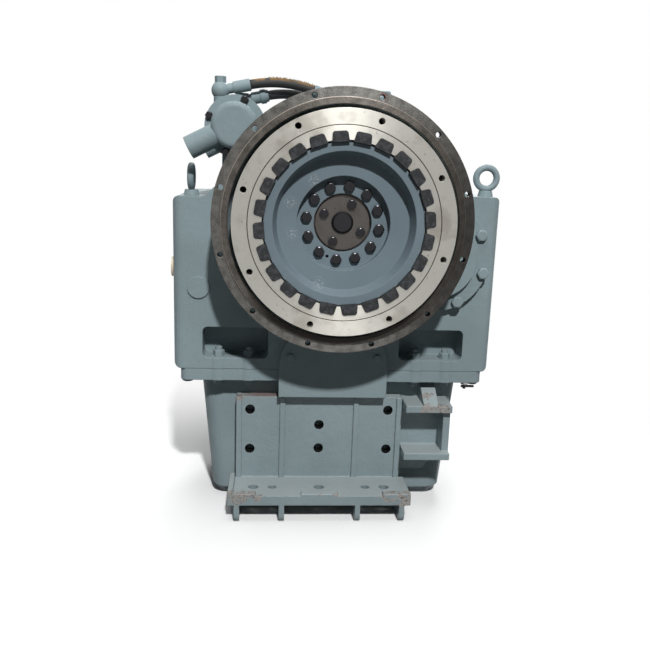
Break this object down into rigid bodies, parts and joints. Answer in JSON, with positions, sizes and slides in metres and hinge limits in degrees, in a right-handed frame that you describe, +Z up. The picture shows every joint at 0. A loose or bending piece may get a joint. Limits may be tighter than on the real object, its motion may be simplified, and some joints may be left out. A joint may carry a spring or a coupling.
{
  "type": "marine reversing and reduction gearbox",
  "caption": "Marine reversing reduction gearbox with bell housing, rubber-block input coupling, oil cooler with hoses, control valve, output flange and mounting brackets.",
  "frame": {"origin": "on the input axis, at the face of the bell housing's flange", "axes": "+X to the right seen from the input end, +Y along the shafts to the output, +Z up"},
  "size_m": [0.7575, 0.7294, 1.0045],
  "materials": {
    "paint": "semi-gloss grey paint on castings",
    "machined_steel": "turned bare steel",
    "black_steel": "black oxide",
    "brown_steel": "bare steel gone brown",
    "rubber": "matt black",
    "sight_window": "clear window, oil behind"
  },
  "bodies": {
    "gearbox": {"bell_housing": "paint", "bell_housing_bolts": "paint", "input_front_cover": "paint", "oil_seals": "rubber", "upper_casing": "paint", "lower_casing": "paint", "casing_joint_studs": "paint", "casing_joint_bolts": "paint", "output_front_cover": "paint", "cover_bolts": "paint", "bearing_outer_races": "machined_steel", "input_rear_cover": "paint", "oil_pump": "paint", "output_rear_cover": "paint", "inspection_cover": "paint", "breather": "paint", "control_valve": "paint", "oil_filter_head": "paint", "oil_filter_bowl": "paint", "cooler_shell": "paint", "cooler_front_cap": "paint", "cooler_rear_cap": "paint", "cooler_cap_bolts": "paint", "cooler_saddles": "paint", "cooler_oil_fittings": "paint", "hose_ferrules": "paint", "upper_hose": "rubber", "lower_hose": "rubber", "hose_clamp": "machined_steel", "lifting_eye_left": "paint", "lifting_eye_right": "paint", "core_plug": "paint", "sight_glass": "sight_window", "drain_plug": "black_steel", "drain_cock": "machined_steel", "front_bracket": "paint", "side_bracket": "paint"},
    "input": {"drive_ring": "machined_steel", "rubber_blocks": "rubber", "coupling_spider": "paint", "spider_bolts": "black_steel", "coupling_hub": "brown_steel", "shaft_end_plate": "brown_steel", "end_plate_bolts": "black_steel", "input_shaft": "machined_steel", "input_gear": "machined_steel", "ahead_clutch_drum": "black_steel", "ahead_pinion": "machined_steel", "input_bearing_races": "machined_steel"},
    "reverse": {"reverse_shaft": "machined_steel", "reverse_gear": "machined_steel", "reverse_clutch_drum": "black_steel", "reverse_bearing_races": "machined_steel"},
    "reverse_pinion": {"reverse_pinion": "machined_steel"},
    "output": {"output_gear": "machined_steel", "output_shaft": "machined_steel", "output_flange": "machined_steel", "output_bearing_races": "machined_steel"},
    "control_lever": {"control_lever": "machined_steel"},
    "drain_cock_handle": {"drain_cock_handle": "black_steel"}
  },
  "joints": [
    {"name": "output_spin", "type": "hinge", "parent": "gearbox", "child": "output", "pos_m": [0, 0.33, -0.355], "axis": [0, 1, 0], "continuous": true},
    {"name": "input_spin", "type": "hinge", "parent": "gearbox", "child": "input", "pos_m": [0, 0.33, 0], "axis": [0, 1, 0], "continuous": true},
    {"name": "reverse_spin", "type": "hinge", "parent": "gearbox", "child": "reverse", "pos_m": [0.22587, 0.33, -0.08113], "axis": [0, 1, 0], "continuous": true},
    {"name": "reverse_pinion_spin", "type": "hinge", "parent": "gearbox", "child": "reverse_pinion", "pos_m": [0.22587, 0.33, -0.08113], "axis": [0, 1, 0], "continuous": true},
    {"name": "lever_swing", "type": "hinge", "parent": "gearbox", "child": "control_lever", "pos_m": [0.135, 0.238, 0.219], "axis": [1, 0, 0], "range_deg": [-26, 26]},
    {"name": "cock_turn", "type": "hinge", "parent": "gearbox", "child": "drain_cock_handle", "pos_m": [0.335, 0.205, -0.405], "axis": [0, 0, 1], "range_deg": [0, 90]}
  ],
  "couplings": [
    {"joint": "input_spin", "follows": "output_spin", "ratio": -4},
    {"joint": "reverse_spin", "follows": "output_spin", "ratio": 4},
    {"joint": "reverse_pinion_spin", "follows": "output_spin", "ratio": -4}
  ]
}
